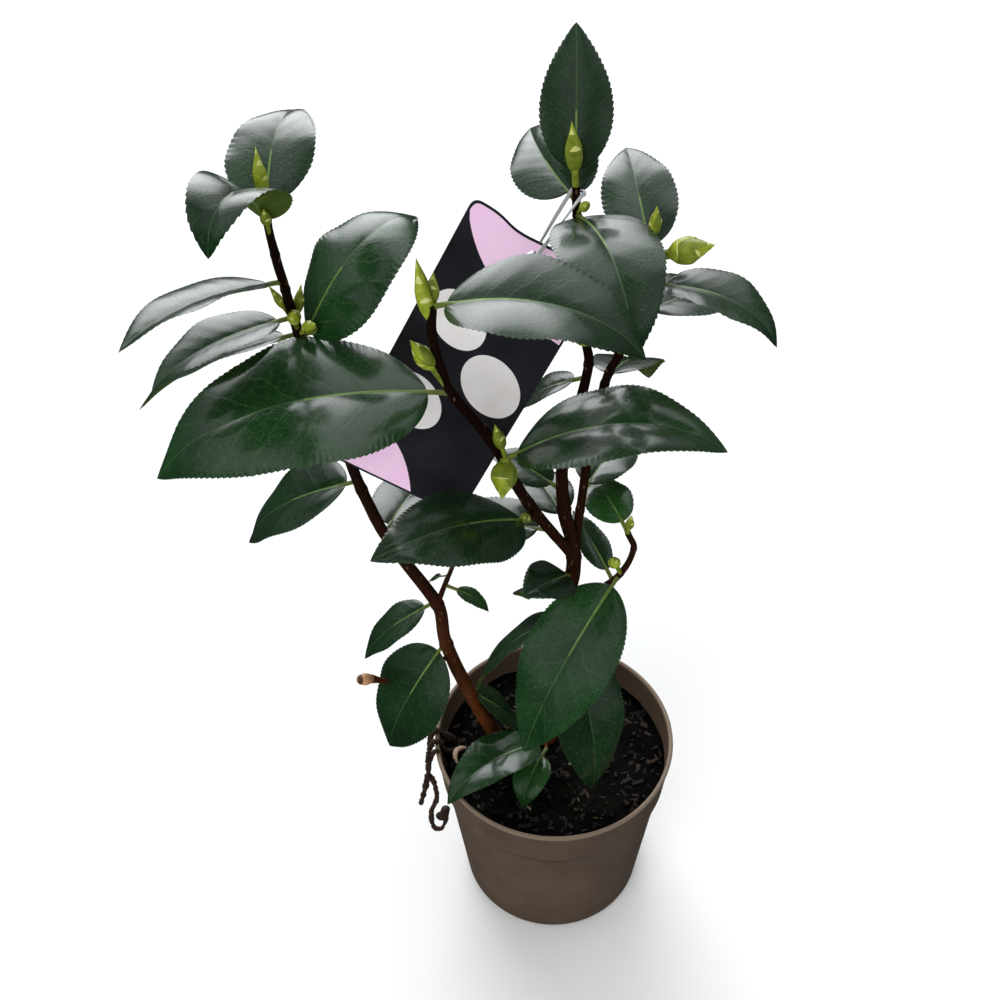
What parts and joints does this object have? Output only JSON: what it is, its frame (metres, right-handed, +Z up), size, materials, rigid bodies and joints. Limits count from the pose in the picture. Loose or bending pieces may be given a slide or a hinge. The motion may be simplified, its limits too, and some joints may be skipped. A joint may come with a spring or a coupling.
{
  "type": "potted camellia shrub",
  "caption": "Young evergreen shrub with glossy toothed leaves, buds and two woody stems in a round plastic pot of compost, with a blank plant card on a wire",
  "frame": {"origin": "the centre of the pot's flat underside", "axes": "+Z up along the pot's axis, -Y toward the plant's front, where the card and the largest leaf face, +X to the right seen from the front"},
  "size_m": [0.2495, 0.1545, 0.4816],
  "materials": {
    "pot": "matte",
    "soil": "matte",
    "bark": "matte",
    "leaf": "gloss",
    "card_dark": "satin",
    "card_pink": "satin",
    "card_pale": "satin",
    "wire": "satin"
  },
  "bodies": {
    "root": {"pot": "pot", "soil": "soil", "left_stem": "bark", "trunk": "bark", "front_bough": "bark", "right_bough": "bark", "left_crown": "leaf", "leader_crown": "leaf", "front_crown": "leaf", "right_crown": "leaf", "right_shoot": "leaf", "left_twig": "leaf", "foot_shoot": "leaf", "bough_leaf_low": "leaf", "bough_leaf_right": "leaf", "bough_leaf_back": "leaf", "back_shoot_1": "leaf", "back_shoot_2": "leaf", "back_shoot_3": "leaf", "back_shoot_4": "leaf", "side_leaf_1": "leaf", "side_leaf_2": "leaf", "side_leaf_3": "leaf", "side_leaf_4": "leaf", "side_leaf_5": "leaf", "side_leaf_6": "leaf", "side_leaf_7": "leaf", "side_leaf_8": "leaf", "side_leaf_9": "leaf", "side_leaf_10": "leaf", "side_leaf_11": "leaf", "side_leaf_12": "leaf", "side_leaf_13": "leaf", "side_leaf_14": "leaf", "card": "card_dark", "card_upper_band": "card_pink", "card_lower_band": "card_pink", "card_oval_1": "card_pale", "card_oval_2": "card_pale", "card_oval_3": "card_pale", "card_wire": "wire"}
  },
  "joints": []
}
